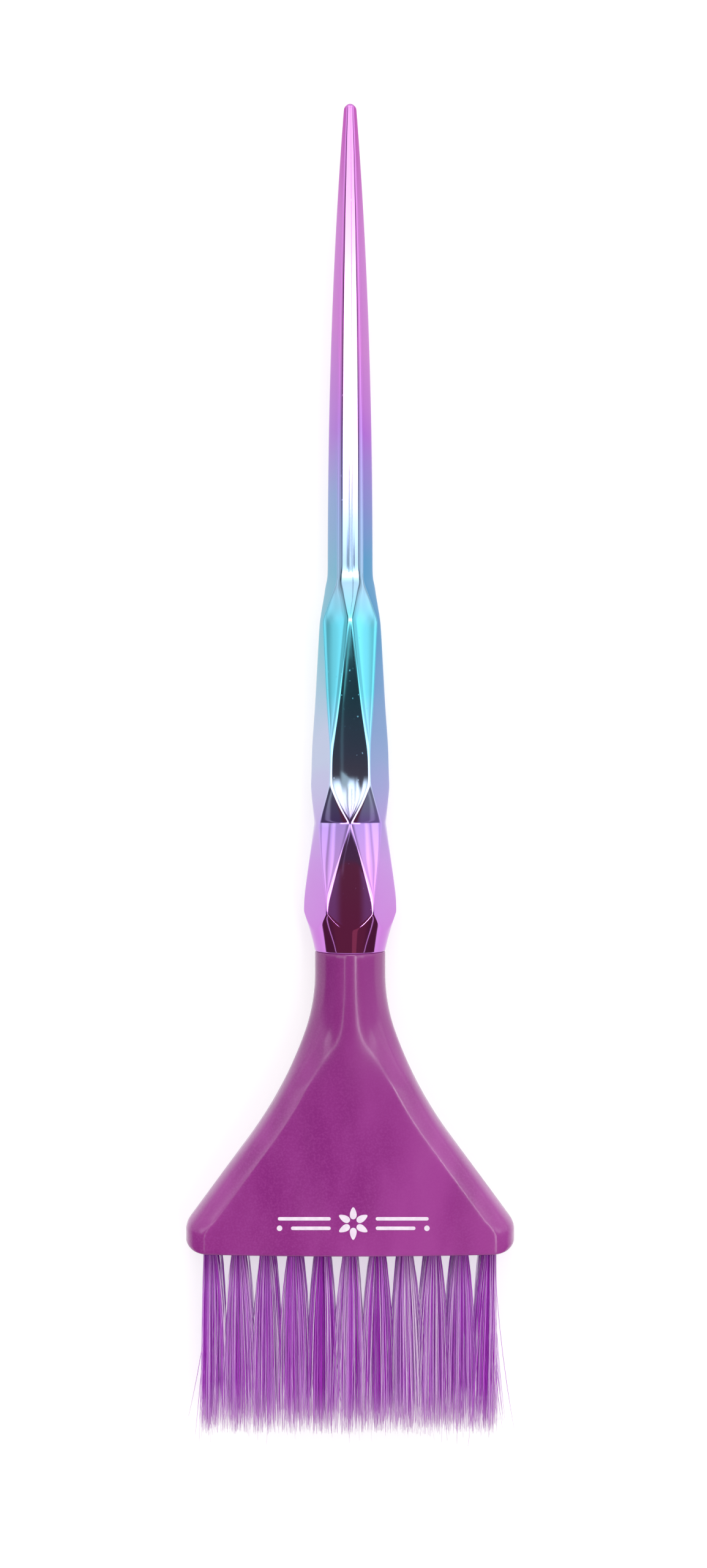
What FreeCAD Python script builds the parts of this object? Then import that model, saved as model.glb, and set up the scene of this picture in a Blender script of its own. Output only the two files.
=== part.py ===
import FreeCAD, Part
import math
import os

# Tint brush, lying on its back panel. Millimetres.
# X is the width of the head, +Y runs along the brush towards the end of the tail,
# +Z is up. The origin is below the middle of the whole brush, on the surface it lies on.
# A "station" is a distance along the brush from the end of the tail, so it grows towards -Y.

os.makedirs("parts", exist_ok=True)

# ---- driving dimensions ------------------------------------------------------------
OVERALL_LENGTH = 255.5
BRISTLE_LENGTH = 33.9          # free length, from the head's end face
HEAD_WIDTH = 63.5
HEAD_THICKNESS = 12.6          # across the two flat panels

TIP_RADIUS = 1.05              # tail, at its rounded end
TAIL_RADIUS = 4.45             # tail, where it meets the grip
TAIL_POWER = 2.25              # how early the tail reaches its full thickness
TAIL_LENGTH = 92.6
TAIL_RINGS = 12
EDGE_RELIEF = 0.15             # how far the tail's six edges are rounded back

# Grip: rings of six points, each as (station, radius, turned by half a facet or not).
RING_TAIL_END = (TAIL_LENGTH, 4.90, True)
RING_UPPER = (100.3, 6.42, False)
RING_WAIST = (130.6, 7.54, True)
RING_CREASE = (139.2, 7.20, False)
RING_WIDEST = (156.1, 9.15, True)
GRIP_RADIUS = 9.02             # largest radius, after the collar's cone has trimmed the corners
COLLAR_STATIONS = (161.3, 164.0)
COLLAR_RADII = (7.26, 6.70)

NECK_RADIUS = 6.82
NECK_LENGTH = 4.3              # straight part, before the flare
NECK_TAPER = 14.3              # how far the neck runs on before it has sunk into the panel
NECK_BURIED = 14.0             # the rest of it, inside the blade
UPPER_FLARE_RADIUS = 34.0
UPPER_FLARE_ANGLE = math.radians(19.5)
LOWER_FLARE_RADIUS = 78.0
FLARE_ANGLE = math.radians(36.4)    # of the straight sloping sides
SHOULDER_RADIUS = 4.0
CORNER_RADIUS = 1.8
BEVEL_WIDTH = 3.74             # from the edge to the flat panel, square to the edge
BEVEL_ANGLE = math.radians(21.4)
LIP_RADIUS = 0.8

SPIGOT_RADIUS = 4.7
SPIGOT_LENGTH = 15.0
RIB_COUNT = 4
RIB_RADIUS = 4.87
RIB_WIDTH = 0.9
SOCKET_RADIUS = 4.9
SOCKET_LENGTH = 16.0

TUFTS_PER_ROW = 11
TUFT_PITCH = 5.34
ROWS = {"front": 1, "middle": 0, "back": -1}
ROW_PITCH = 3.9
HOLE_RADIUS = 1.5
HOLE_DEPTH = 6.5
TUFT_ROOT_WIDTH = 2.92
TUFT_ROOT_THICKNESS = 2.88
TUFT_TIP_WIDTH = 5.1
TUFT_TIP_THICKNESS = 3.6
TUFT_TIP_TAPER = 0.82          # the last stretch closes in to this share of the full size
TUFT_FULL_AT = 0.88            # where along its free length a tuft is widest
ANCHOR_WIDTH = 3.4
ANCHOR_HEIGHT = 1.5
ANCHOR_THICKNESS = 0.35
ANCHOR_FROM_BOTTOM = 1.2

# ---- worked out from them ----------------------------------------------------------
TIP_Y = OVERALL_LENGTH / 2
RIM_STATION = COLLAR_STATIONS[-1]
FACE_STATION = OVERALL_LENGTH - BRISTLE_LENGTH
HALF_THICKNESS = HEAD_THICKNESS / 2
HALF_WIDTH = HEAD_WIDTH / 2


FACET_HALF_ANGLE = math.radians(30)

# The six lowest facets of the grip: how far from the axis each one is at the crease ring,
# and how much further out it gets for each millimetre towards the collar.
FACET_START = RING_CREASE[1]
FACET_SLOPE = ((RING_WIDEST[1] * math.cos(FACET_HALF_ANGLE) - FACET_START)
               / (RING_WIDEST[0] - RING_CREASE[0]))


def facet_distance(station):
    """Distance of a lowest facet from the axis."""
    return FACET_START + FACET_SLOPE * (station - RING_CREASE[0])


END_STATION = RIM_STATION + 1
RING_END = (END_STATION, facet_distance(END_STATION) / math.cos(FACET_HALF_ANGLE), True)

# The brush rests where the collar's cone cuts one of those facets.
COLLAR_SLOPE = (COLLAR_RADII[0] - GRIP_RADIUS) / (COLLAR_STATIONS[0] - RING_WIDEST[0])
REST_STATION = RING_WIDEST[0] + ((GRIP_RADIUS - facet_distance(RING_WIDEST[0]))
                                 / (FACET_SLOPE - COLLAR_SLOPE))
AXIS_Z = facet_distance(REST_STATION)


def point(x, station, z=0.0):
    """A point given from the brush's own axis and the end of its tail."""
    return FreeCAD.Vector(x, TIP_Y - station, AXIS_Z + z)


def revolved(profile):
    """Solid of revolution about the brush's axis, from (station, radius) points."""
    wire = Part.makePolygon([point(radius, station) for station, radius in profile + profile[:1]])
    return Part.Face(wire).revolve(point(0, 0), FreeCAD.Vector(0, 1, 0), 360)


def solid_of(faces):
    shell = Part.makeShell(faces)
    shell.sewShape()
    solid = Part.Solid(shell)
    if solid.Volume < 0:
        solid.reverse()
    return solid


def facet(*corners):
    return Part.Face(Part.makePolygon(list(corners) + [corners[0]]))


def tail_radius(station):
    """The tail thickens fast near its tip and hardly at all near the grip."""
    rest = 1 - station / TAIL_LENGTH
    return TIP_RADIUS + (TAIL_RADIUS - TIP_RADIUS) * (1 - rest ** TAIL_POWER)


def export(shape, node):
    if not shape.isValid():
        raise RuntimeError(node + " is not a valid solid")
    shape.exportStep("parts/" + node + ".step")
    print(node, len(shape.Solids), "solid(s)", round(shape.Volume, 1), "mm3")


# ---- handle ------------------------------------------------------------------------
def ring_points(ring):
    station, radius, turned = ring
    start = math.radians(30 if turned else 0)
    angles = [start + math.radians(60 * k) for k in range(6)]
    return [point(radius * math.sin(a), station, radius * math.cos(a)) for a in angles]


def band_between(ring_a, ring_b):
    """Facets between two rings of six: trapezoids where they line up, else triangles."""
    a, b = ring_points(ring_a), ring_points(ring_b)
    faces = []
    for k in range(6):
        after = (k + 1) % 6
        if ring_a[2] == ring_b[2]:
            faces.append(facet(a[k], a[after], b[after], b[k]))
        elif ring_a[2]:
            faces.append(facet(a[k], a[after], b[after]))
            faces.append(facet(b[k], b[after], a[k]))
        else:
            faces.append(facet(a[k], a[after], b[k]))
            faces.append(facet(b[k], b[after], a[after]))
    return faces


def faceted_body():
    tail = []
    for k in range(TAIL_RINGS):
        station = TAIL_LENGTH * k / TAIL_RINGS
        tail.append((station, tail_radius(station) + EDGE_RELIEF, True))
    rings = tail + [RING_TAIL_END, RING_UPPER, RING_WAIST, RING_CREASE, RING_WIDEST, RING_END]
    faces = [facet(*ring_points(rings[0])), facet(*ring_points(rings[-1]))]
    for ring_a, ring_b in zip(rings, rings[1:]):
        faces += band_between(ring_a, ring_b)
    return solid_of(faces)


def round_envelope():
    """The turned shape that rounds the tip and the tail's edges, and makes the collar."""
    profile = [(0, 0)]
    nose = 4
    for k in range(1, nose + 1):
        angle = math.radians(90 * k / nose)
        profile.append((TIP_RADIUS * (1 - math.cos(angle)), TIP_RADIUS * math.sin(angle)))
    for k in range(1, TAIL_RINGS):
        station = TAIL_LENGTH * k / TAIL_RINGS
        profile.append((station, tail_radius(station)))
    clear = 0.4
    profile.append((TAIL_LENGTH, RING_TAIL_END[1] - EDGE_RELIEF))
    profile.append((RING_UPPER[0], RING_UPPER[1] + clear))
    profile.append((RING_WAIST[0], RING_WAIST[1] + clear))
    profile.append((RING_WIDEST[0], GRIP_RADIUS))
    profile += list(zip(COLLAR_STATIONS, COLLAR_RADII))
    profile.append((RIM_STATION, 0))
    return revolved(profile)


def spigot():
    overlap = 2.0
    start = RIM_STATION - overlap
    length = SPIGOT_LENGTH + overlap
    down = FreeCAD.Vector(0, -1, 0)
    shape = Part.makeCylinder(SPIGOT_RADIUS, length, point(0, start), down)
    ridge = Part.makeCylinder(RIB_RADIUS, length - 2, point(0, start), down)
    for k in range(RIB_COUNT):
        blank = Part.makeBox(RIB_WIDTH, length, RIB_RADIUS)
        blank.translate(point(-RIB_WIDTH / 2, start + length))
        blank.rotate(point(0, 0), FreeCAD.Vector(0, 1, 0), 45 + 360 * k / RIB_COUNT)
        shape = shape.fuse(ridge.common(blank))
    return shape


def handle():
    return faceted_body().common(round_envelope()).fuse(spigot()).removeSplitter()


# ---- head --------------------------------------------------------------------------
def rounded_wire(corners):
    """Closed wire through (x, station, radius) corners, each rounded by its radius."""
    points = [point(x, station, -HALF_THICKNESS) for x, station, _ in corners]
    edges, ends = [], []
    for k, (_, _, radius) in enumerate(corners):
        here = points[k]
        back = (points[k - 1] - here).normalize()
        ahead = (points[(k + 1) % len(points)] - here).normalize()
        if radius == 0:
            ends.append((here, here))
            continue
        half = back.getAngle(ahead) / 2
        reach = radius / math.tan(half)
        bisector = (back + ahead).normalize()
        middle = here + bisector * (radius / math.sin(half) - radius)
        start, end = here + back * reach, here + ahead * reach
        edges.append(Part.Arc(start, middle, end).toShape())
        ends.append((start, end))
    for k in range(len(ends)):
        begin, finish = ends[k - 1][1], ends[k][0]
        if begin.distanceToPoint(finish) > 1e-6:
            edges.append(Part.LineSegment(begin, finish).toShape())
    return Part.Wire(Part.sortEdges(edges)[0])


# Corners of the head's outline before they are rounded, as (x, station).
TOP_CORNER = (NECK_RADIUS, RIM_STATION + NECK_LENGTH)
UPPER_REACH = UPPER_FLARE_RADIUS * math.tan(UPPER_FLARE_ANGLE / 2)
LOWER_REACH = LOWER_FLARE_RADIUS * math.tan((FLARE_ANGLE - UPPER_FLARE_ANGLE) / 2)
UPPER_CORNER = (NECK_RADIUS, TOP_CORNER[1] + UPPER_REACH)
LOWER_CORNER = (UPPER_CORNER[0] + (UPPER_REACH + LOWER_REACH) * math.sin(UPPER_FLARE_ANGLE),
                UPPER_CORNER[1] + (UPPER_REACH + LOWER_REACH) * math.cos(UPPER_FLARE_ANGLE))
SHOULDER = (HALF_WIDTH, LOWER_CORNER[1] + (HALF_WIDTH - LOWER_CORNER[0]) / math.tan(FLARE_ANGLE))


def blade_outline():
    """Plan of the head: a neck that flares into straight sloping sides and a square end."""
    right = [
        (*TOP_CORNER, 0),
        (*UPPER_CORNER, UPPER_FLARE_RADIUS),
        (*LOWER_CORNER, LOWER_FLARE_RADIUS),
        (*SHOULDER, SHOULDER_RADIUS),
        (HALF_WIDTH, FACE_STATION, CORNER_RADIUS),
    ]
    left = [(-x, station, radius) for x, station, radius in reversed(right)]
    return rounded_wire(right + left)


def bevel_wedge(side, up, angle):
    """What a bevel takes off: side is +1 right or -1 left, up is +1 front or -1 back.
    It runs along the outline's straight side through the shoulder, at that angle from the axis."""
    along = FreeCAD.Vector(side * math.sin(angle), -math.cos(angle), 0)
    outward = FreeCAD.Vector(side * math.cos(angle), math.sin(angle), 0)
    shoulder = point(side * SHOULDER[0], SHOULDER[1], up * HALF_THICKNESS)
    reach = 60.0
    start = shoulder - outward * BEVEL_WIDTH - along * reach
    drop = FreeCAD.Vector(0, 0, -up * reach * math.tan(BEVEL_ANGLE))
    cover = FreeCAD.Vector(0, 0, up)
    section = facet(start, start + outward * reach + drop, start + outward * reach + cover, start + cover)
    return section.extrude(along * (2 * reach))


def blade():
    shape = Part.Face(blade_outline()).extrude(FreeCAD.Vector(0, 0, HEAD_THICKNESS))
    for side in (1, -1):
        for up in (1, -1):
            for angle in (0, FLARE_ANGLE):
                shape = shape.cut(bevel_wedge(side, up, angle))
    end_y = TIP_Y - FACE_STATION
    lip = [e for e in shape.Edges if abs(e.BoundBox.YMin - end_y) < 1e-4 and e.BoundBox.YLength < 1e-4
           and e.BoundBox.XLength > HALF_WIDTH]
    return shape.makeFillet(LIP_RADIUS, lip)


def neck():
    rim_round = 0.3
    straight_end = RIM_STATION + NECK_LENGTH + 1
    sunk = RIM_STATION + NECK_LENGTH + NECK_TAPER
    return revolved([
        (RIM_STATION, 0),
        (RIM_STATION, NECK_RADIUS - rim_round),
        (RIM_STATION + rim_round, NECK_RADIUS),
        (straight_end, NECK_RADIUS),
        (sunk, HALF_THICKNESS),
        (sunk + NECK_BURIED, NECK_RADIUS / 4),
        (sunk + NECK_BURIED, 0),
    ])


def tuft_places(row):
    """(index, x, z) of each hole in a row."""
    middle = (TUFTS_PER_ROW - 1) / 2
    return [(k + 1, (k - middle) * TUFT_PITCH, row * ROW_PITCH) for k in range(TUFTS_PER_ROW)]


def anchor(x, z):
    station = FACE_STATION - HOLE_DEPTH + ANCHOR_FROM_BOTTOM + ANCHOR_HEIGHT
    blank = Part.makeBox(ANCHOR_WIDTH, ANCHOR_HEIGHT, ANCHOR_THICKNESS)
    blank.translate(point(x - ANCHOR_WIDTH / 2, station, z - ANCHOR_THICKNESS / 2))
    return blank


def head():
    shape = blade().fuse(neck()).removeSplitter()
    down = FreeCAD.Vector(0, -1, 0)
    tools = [Part.makeCylinder(SOCKET_RADIUS, SOCKET_LENGTH, point(0, RIM_STATION), down)]
    for row in ROWS.values():
        for _, x, z in tuft_places(row):
            tools.append(Part.makeCylinder(HOLE_RADIUS, HOLE_DEPTH, point(x, FACE_STATION - HOLE_DEPTH, z), down))
            tools.append(anchor(x, z))
    return shape.cut(tools)


# ---- bristles ----------------------------------------------------------------------
def tuft_section(x, z, station, width, thickness):
    """Ellipse across a tuft, its long way along X."""
    middle = point(x, station, z)
    ellipse = Part.Ellipse(middle + FreeCAD.Vector(width / 2, 0, 0),
                           middle + FreeCAD.Vector(0, 0, thickness / 2), middle)
    return Part.Wire(ellipse.toShape())


def tuft(x, z):
    """A bundle folded over its anchor, all but round in its hole and spreading to a flat tip."""
    profile = [
        (FACE_STATION - HOLE_DEPTH, TUFT_ROOT_WIDTH, TUFT_ROOT_THICKNESS),
        (FACE_STATION, TUFT_ROOT_WIDTH, TUFT_ROOT_THICKNESS),
        (FACE_STATION + BRISTLE_LENGTH * TUFT_FULL_AT, TUFT_TIP_WIDTH, TUFT_TIP_THICKNESS),
        (OVERALL_LENGTH, TUFT_TIP_WIDTH * TUFT_TIP_TAPER, TUFT_TIP_THICKNESS * TUFT_TIP_TAPER),
    ]
    sections = [tuft_section(x, z, *station_and_size) for station_and_size in profile]
    return Part.makeLoft(sections, True, True).cut(anchor(x, z))


# ---- build -------------------------------------------------------------------------
export(handle(), "handle")
export(head(), "head")
for row_name, row in ROWS.items():
    for number, x, z in tuft_places(row):
        export(tuft(x, z), "tuft_%s_%02d" % (row_name, number))
    anchors = Part.makeCompound([anchor(x, z) for _, x, z in tuft_places(row)])
    export(anchors, "anchors_" + row_name)
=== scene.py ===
import math

import bmesh
import bpy
import numpy as np
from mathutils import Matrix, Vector


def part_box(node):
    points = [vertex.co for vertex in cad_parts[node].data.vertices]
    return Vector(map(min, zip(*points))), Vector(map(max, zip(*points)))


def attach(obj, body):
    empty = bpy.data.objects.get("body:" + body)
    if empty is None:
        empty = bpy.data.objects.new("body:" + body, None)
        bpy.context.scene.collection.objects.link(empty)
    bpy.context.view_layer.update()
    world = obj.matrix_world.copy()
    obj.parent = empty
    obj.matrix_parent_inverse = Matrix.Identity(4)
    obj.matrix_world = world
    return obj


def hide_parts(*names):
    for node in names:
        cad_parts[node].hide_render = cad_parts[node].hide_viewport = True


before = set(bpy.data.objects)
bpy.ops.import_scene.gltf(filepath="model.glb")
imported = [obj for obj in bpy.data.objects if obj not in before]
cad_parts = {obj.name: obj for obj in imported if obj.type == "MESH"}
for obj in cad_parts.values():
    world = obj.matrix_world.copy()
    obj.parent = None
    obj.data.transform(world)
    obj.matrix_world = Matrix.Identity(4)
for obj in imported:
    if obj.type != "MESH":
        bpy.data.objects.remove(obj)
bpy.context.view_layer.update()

# Tint brush: the looks. Metres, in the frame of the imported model: X across the head,
# +Y towards the end of the tail, +Z up. A "station" is a distance from the end of the tail,
# measured towards the bristles. Section angles start at +X and turn towards +Z.

MM = 0.001
DEG = math.pi / 180

# ---- places, from the frame --------------------------------------------------------
HANDLE_LOW, HANDLE_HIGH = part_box("handle")
HEAD_LOW, HEAD_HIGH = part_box("head")
TIP_Y = HANDLE_HIGH.y
AXIS_Z = (HANDLE_LOW.z + HANDLE_HIGH.z) / 2
RIM = TIP_Y - HEAD_HIGH.y
FACE = TIP_Y - HEAD_LOW.y
HALF_WIDTH = HEAD_HIGH.x
NECK_RADIUS = HEAD_HIGH.z - AXIS_Z
ROWS = ("front", "middle", "back")
TUFTS_PER_ROW = 11


# ---- small helpers -----------------------------------------------------------------
def soft_step(x, low, high):
    t = np.clip((x - low) / (high - low), 0, 1)
    return t * t * (3 - 2 * t)


def soft_kink(x, softness):
    """0 before x = 0 and x after it, rounded over about four times softness."""
    return softness * np.logaddexp(0, x / softness)


def soft_max(softness, *values):
    total = values[0] / softness
    for value in values[1:]:
        total = np.logaddexp(total, value / softness)
    return softness * total


def soft_min(softness, *values):
    return -soft_max(softness, *[-value for value in values])


def linear(*srgb):
    """Scene-linear colour from 0-255 display values."""
    parts = [c / 255 for c in srgb]
    return tuple(c / 12.92 if c <= 0.04045 else ((c + 0.055) / 1.055) ** 2.4 for c in parts) + (1.0,)


def to_world(x, station, z):
    return np.stack([x, TIP_Y - station, AXIS_Z + z], axis=-1)


def make_object(name, verts, faces, material, smooth=True):
    mesh = bpy.data.meshes.new(name)
    mesh.from_pydata([tuple(v) for v in verts], [], faces)
    mesh.polygons.foreach_set("use_smooth", [smooth] * len(mesh.polygons))
    mesh.materials.append(material)
    mesh.update()
    piece = bpy.data.objects.new(name, mesh)
    bpy.context.scene.collection.objects.link(piece)
    return piece


def tube_faces(rows, columns):
    """Quads of a closed tube, its points in rows of columns."""
    faces = []
    for r in range(rows - 1):
        for c in range(columns):
            after = (c + 1) % columns
            faces.append((r * columns + c, r * columns + after,
                          (r + 1) * columns + after, (r + 1) * columns + c))
    return faces


def fan_faces(ring, centre, flip):
    """Triangles from a ring of point numbers to a centre point."""
    pairs = zip(ring, ring[1:] + ring[:1])
    return [(b, a, centre) if flip else (a, b, centre) for a, b in pairs]


def stations(*spans):
    """Stations from (start, end, step) spans, each once."""
    parts = [np.linspace(a, b, max(2, round((b - a) / step) + 1)) for a, b, step in spans]
    return np.unique(np.round(np.concatenate(parts), 8))


# ---- node helpers ------------------------------------------------------------------
class Graph:
    """Builds a material's or world's nodes from short expressions."""

    def __init__(self, tree):
        self.tree = tree
        tree.nodes.clear()

    def node(self, kind, inputs=None, **settings):
        made = self.tree.nodes.new(kind)
        for key, value in settings.items():
            setattr(made, key, value)
        for key, value in (inputs or {}).items():
            self.put(made.inputs[key], value)
        return made

    def put(self, socket, value):
        if isinstance(value, bpy.types.NodeSocket):
            self.tree.links.new(value, socket)
        else:
            socket.default_value = value

    def math(self, operation, a, b=0.0):
        return self.node("ShaderNodeMath", {0: a, 1: b}, operation=operation).outputs[0]

    def times(self, a, b):
        return self.math("MULTIPLY", a, b)

    def plus(self, a, b):
        return self.math("ADD", a, b)

    def minus(self, a, b):
        return self.math("SUBTRACT", a, b)

    def most(self, a, b):
        return self.math("MAXIMUM", a, b)

    def ramp(self, value, low, high, out_low=0.0, out_high=1.0):
        """A smooth step from out_low to out_high, as value goes from low to high."""
        inputs = {"Value": value, "From Min": low, "From Max": high,
                  "To Min": out_low, "To Max": out_high}
        return self.node("ShaderNodeMapRange", inputs, interpolation_type="SMOOTHSTEP").outputs[0]

    def bump(self, value, centre, half_width, edge):
        """1 within half_width of centre, falling smoothly to 0 over edge."""
        away = self.math("ABSOLUTE", self.minus(value, centre))
        return self.ramp(away, half_width, half_width + edge, 1.0, 0.0)

    def blend(self, amount, a, b):
        """Colour mix from a to b."""
        mix = self.node("ShaderNodeMix", data_type="RGBA")
        self.put(mix.inputs[0], amount)
        self.put(mix.inputs[6], a)
        self.put(mix.inputs[7], b)
        return mix.outputs[2]

    def between(self, amount, a, b):
        """Number from a to b."""
        mix = self.node("ShaderNodeMix", data_type="FLOAT")
        self.put(mix.inputs[0], amount)
        self.put(mix.inputs[2], a)
        self.put(mix.inputs[3], b)
        return mix.outputs[0]

    def colours(self, value, stops):
        """Colour ramp through (place, colour) stops."""
        node = self.node("ShaderNodeValToRGB", {0: value})
        band = node.color_ramp
        band.elements[0].position, band.elements[0].color = stops[0]
        band.elements[1].position, band.elements[1].color = stops[-1]
        for place, colour in stops[1:-1]:
            band.elements.new(place).color = colour
        return node.outputs[0]

    def noise(self, vector, scale, detail=2.0):
        inputs = {"Vector": vector, "Scale": scale, "Detail": detail}
        return self.node("ShaderNodeTexNoise", inputs).outputs[0]

    def object_place(self):
        return self.node("ShaderNodeTexCoord").outputs["Object"]

    def parts(self, vector):
        """The x, y and z of a vector."""
        split = self.node("ShaderNodeSeparateXYZ", {0: vector})
        return split.outputs[0], split.outputs[1], split.outputs[2]

    def stretched(self, vector, factors):
        scaled = self.node("ShaderNodeVectorMath", {0: vector, 1: factors}, operation="MULTIPLY")
        return scaled.outputs[0]

    def relief(self, height, distance, under=None):
        """Normal of a bumped surface, on top of an earlier normal if there is one."""
        inputs = {"Height": height, "Distance": distance, "Strength": 1.0}
        if under is not None:
            inputs["Normal"] = under
        return self.node("ShaderNodeBump", inputs).outputs[0]

    def surface(self, **values):
        """Principled surface; underscores in the names stand for spaces."""
        shader = self.node("ShaderNodeBsdfPrincipled")
        for key, value in values.items():
            self.put(shader.inputs[key.replace("_", " ")], value)
        output = self.node("ShaderNodeOutputMaterial")
        self.tree.links.new(shader.outputs[0], output.inputs[0])
        return shader


def new_material(name):
    material = bpy.data.materials.new(name)
    material.use_nodes = True
    return material, Graph(material.node_tree)


# ---- materials ---------------------------------------------------------------------
# Tints of the plating, as display colours.
MAGENTA, ORCHID, PINK, ROSE = (190, 70, 180), (205, 130, 210), (210, 135, 225), (205, 155, 230)
LILAC, VIOLET, MAUVE = (180, 130, 215), (180, 110, 215), (185, 150, 230)
PERIWINKLE, BLUE, STEEL, SEA = (150, 170, 215), (95, 160, 205), (145, 180, 205), (130, 185, 210)
TEAL, AQUA, SKY, ICE = (100, 195, 215), (140, 200, 215), (150, 200, 235), (195, 205, 230)

# How the tint runs, as (millimetres from the end of the tail, tint): one run on the faces that look up
# or down, and one each on those that look left and those that look right.
PLATING_FACE = [
    (0, ORCHID), (50, ORCHID), (62, LILAC), (80, PERIWINKLE), (94, STEEL), (104, TEAL),
    (115, TEAL), (126, SKY), (133, ICE), (139, MAUVE), (148, ROSE), (158, PINK),
]
PLATING_LEFT = [
    (0, MAGENTA), (27, ORCHID), (45, ORCHID), (63, LILAC), (75, PERIWINKLE), (90, SEA),
    (107, AQUA), (122, ICE), (128, ICE), (146, ROSE), (160, PINK),
]
PLATING_RIGHT = [
    (0, MAGENTA), (30, ORCHID), (51, ORCHID), (63, VIOLET), (87, BLUE), (106, BLUE),
    (128, PERIWINKLE), (148, ROSE), (160, PINK),
]
SIDE_LEVEL = 0.86               # of the side runs, because the floor next to them is so bright
COLOUR_DRIFT = 0.012            # metres by which the colour run wanders


def plating():
    """Mirror-bright plated skin whose colour runs along the handle."""
    material, g = new_material("handle_plating")
    place = g.object_place()
    y = g.parts(place)[1]
    drift = g.times(g.minus(g.noise(place, 60.0), 0.5), COLOUR_DRIFT)
    along = g.math("DIVIDE", g.plus(g.minus(TIP_Y, y), drift), RIM)

    def run(stops, level=1.0):
        """Colour ramp along the handle through its stops."""
        ramp = []
        for mm, tint in stops:
            red, green, blue, _ = linear(*tint)
            ramp.append((min(mm * MM / RIM, 1), (level * red, level * green, level * blue, 1.0)))
        return g.colours(along, ramp)

    facing_x, _, facing_z = g.parts(g.node("ShaderNodeTexCoord").outputs["Normal"])
    left, right = run(PLATING_LEFT, SIDE_LEVEL), run(PLATING_RIGHT, SIDE_LEVEL)
    sides = g.blend(g.ramp(facing_x, -0.15, 0.15), left, right)
    upright = g.ramp(g.math("ABSOLUTE", facing_z), 0.58, 0.78)
    colour = g.blend(upright, sides, run(PLATING_FACE))
    specks = g.ramp(g.noise(place, 1400.0, 1.0), 0.72, 0.80)
    waves = g.relief(g.noise(place, 170.0, 1.0), 0.004 * MM)
    orange_peel = g.relief(g.noise(place, 420.0, 1.0), 0.001 * MM, waves)
    g.surface(
        Base_Color=colour,
        Metallic=1.0,
        Roughness=g.between(specks, 0.05, 0.2),
        Normal=orange_peel,
    )
    return material


def head_plastic():
    """Glossy moulded plastic with faint flow marks and dust, a little darker at the neck."""
    material, g = new_material("head_plastic")
    place = g.object_place()
    flow = g.noise(g.stretched(place, (1.0, 0.45, 1.0)), 55.0, 3.0)
    grain = g.noise(place, 2600.0, 2.0)
    base = g.blend(g.ramp(flow, 0.35, 0.65), linear(136, 42, 126), linear(160, 66, 150))
    colour = g.blend(g.ramp(grain, 0.35, 0.8, 0.0, 0.35), base, linear(168, 74, 158))
    smear = g.noise(g.stretched(place, (1.0, 0.3, 1.0)), 190.0, 3.0)
    neck = g.ramp(g.parts(place)[1], TIP_Y - 205 * MM, TIP_Y - 168 * MM, 0.0, 0.4)
    g.surface(
        Base_Color=g.blend(neck, colour, linear(112, 28, 100)),
        Roughness=g.ramp(smear, 0.35, 0.75, 0.17, 0.27),
        Specular_IOR_Level=0.4,
        Coat_Weight=0.2,
        Coat_Roughness=0.08,
        Normal=g.relief(grain, 0.004 * MM),
    )
    return material


SHARE_THROUGH = 0.25            # of the light on a filament, how much comes out at the back
SCATTERED_GLOW = 0.07           # stands in for light that is scattered on from filament to filament


def filament():
    """Half-clear nylon, its tone set filament by filament: at random, plus painted shade that darkens
    each tuft's core and lightens its edge. Painted shade darkens the roots by the head; the flagged ends
    are paler."""
    material, g = new_material("filament")
    # Per-filament tone: partly random, partly painted shade, darker at each tuft's core and lighter at
    # its edge.
    tone_and_painted_shade = g.node("ShaderNodeAttribute", attribute_name="tone_and_painted_shade").outputs["Fac"]
    along = g.node("ShaderNodeAttribute", attribute_name="along").outputs["Fac"]
    body = g.colours(tone_and_painted_shade, [
        (0.0, linear(186, 40, 206)), (0.3, linear(212, 98, 232)),
        (0.6, linear(230, 164, 246)), (1.0, linear(253, 240, 255)),
    ])
    flagged = g.ramp(along, 0.75, 1.0, 0.0, 0.4)
    colour = g.blend(flagged, body, linear(246, 226, 248))
    # Painted shade at the roots: up to 0.6 of the way to deep purple by the head, fading out by 0.3 of
    # the filament's length.
    root = g.ramp(along, 0.10, 0.30, 0.6, 0.0)
    colour = g.blend(root, colour, linear(158, 34, 176))
    shader = g.node("ShaderNodeBsdfPrincipled", {
        "Base Color": colour, "Roughness": 0.32,
        "Emission Color": colour, "Emission Strength": SCATTERED_GLOW,
    })
    through = g.node("ShaderNodeBsdfTranslucent", {"Color": colour})
    shares = {0: SHARE_THROUGH, 1: shader.outputs[0], 2: through.outputs[0]}
    mixed = g.node("ShaderNodeMixShader", shares)
    g.node("ShaderNodeOutputMaterial", {0: mixed.outputs[0]})
    return material


def anchor_wire():
    """Drawn brass wire, hidden in the holes."""
    material, g = new_material("anchor_wire")
    drawn = g.noise(g.stretched(g.object_place(), (1.0, 8.0, 8.0)), 900.0)
    g.surface(
        Base_Color=g.blend(drawn, linear(200, 165, 95), linear(222, 190, 120)),
        Metallic=1.0,
        Roughness=g.ramp(drawn, 0.3, 0.7, 0.25, 0.4),
    )
    return material


def print_ink():
    """Pad-printed white ink, a little uneven."""
    material, g = new_material("print_ink")
    patchy = g.noise(g.object_place(), 900.0, 3.0)
    g.surface(
        Base_Color=g.blend(g.ramp(patchy, 0.3, 0.8), linear(236, 222, 240), linear(248, 240, 250)),
        Roughness=0.4,
    )
    return material


# ---- handle ------------------------------------------------------------------------
TAIL_LENGTH = 92.6 * MM
TAIL_END_RADIUS = 1.03 * MM
TAIL_RADIUS = 4.45 * MM
TAIL_POWER = 2.25
COLLAR_START = 156.1 * MM
COLLAR_RADIUS = 9.08 * MM
COLLAR_SLOPE = 0.34
COLLAR_BEND = 161.3 * MM
COLLAR_SLOPE_AFTER = 0.2
HALF_SECTOR_COLUMNS = 16

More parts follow.
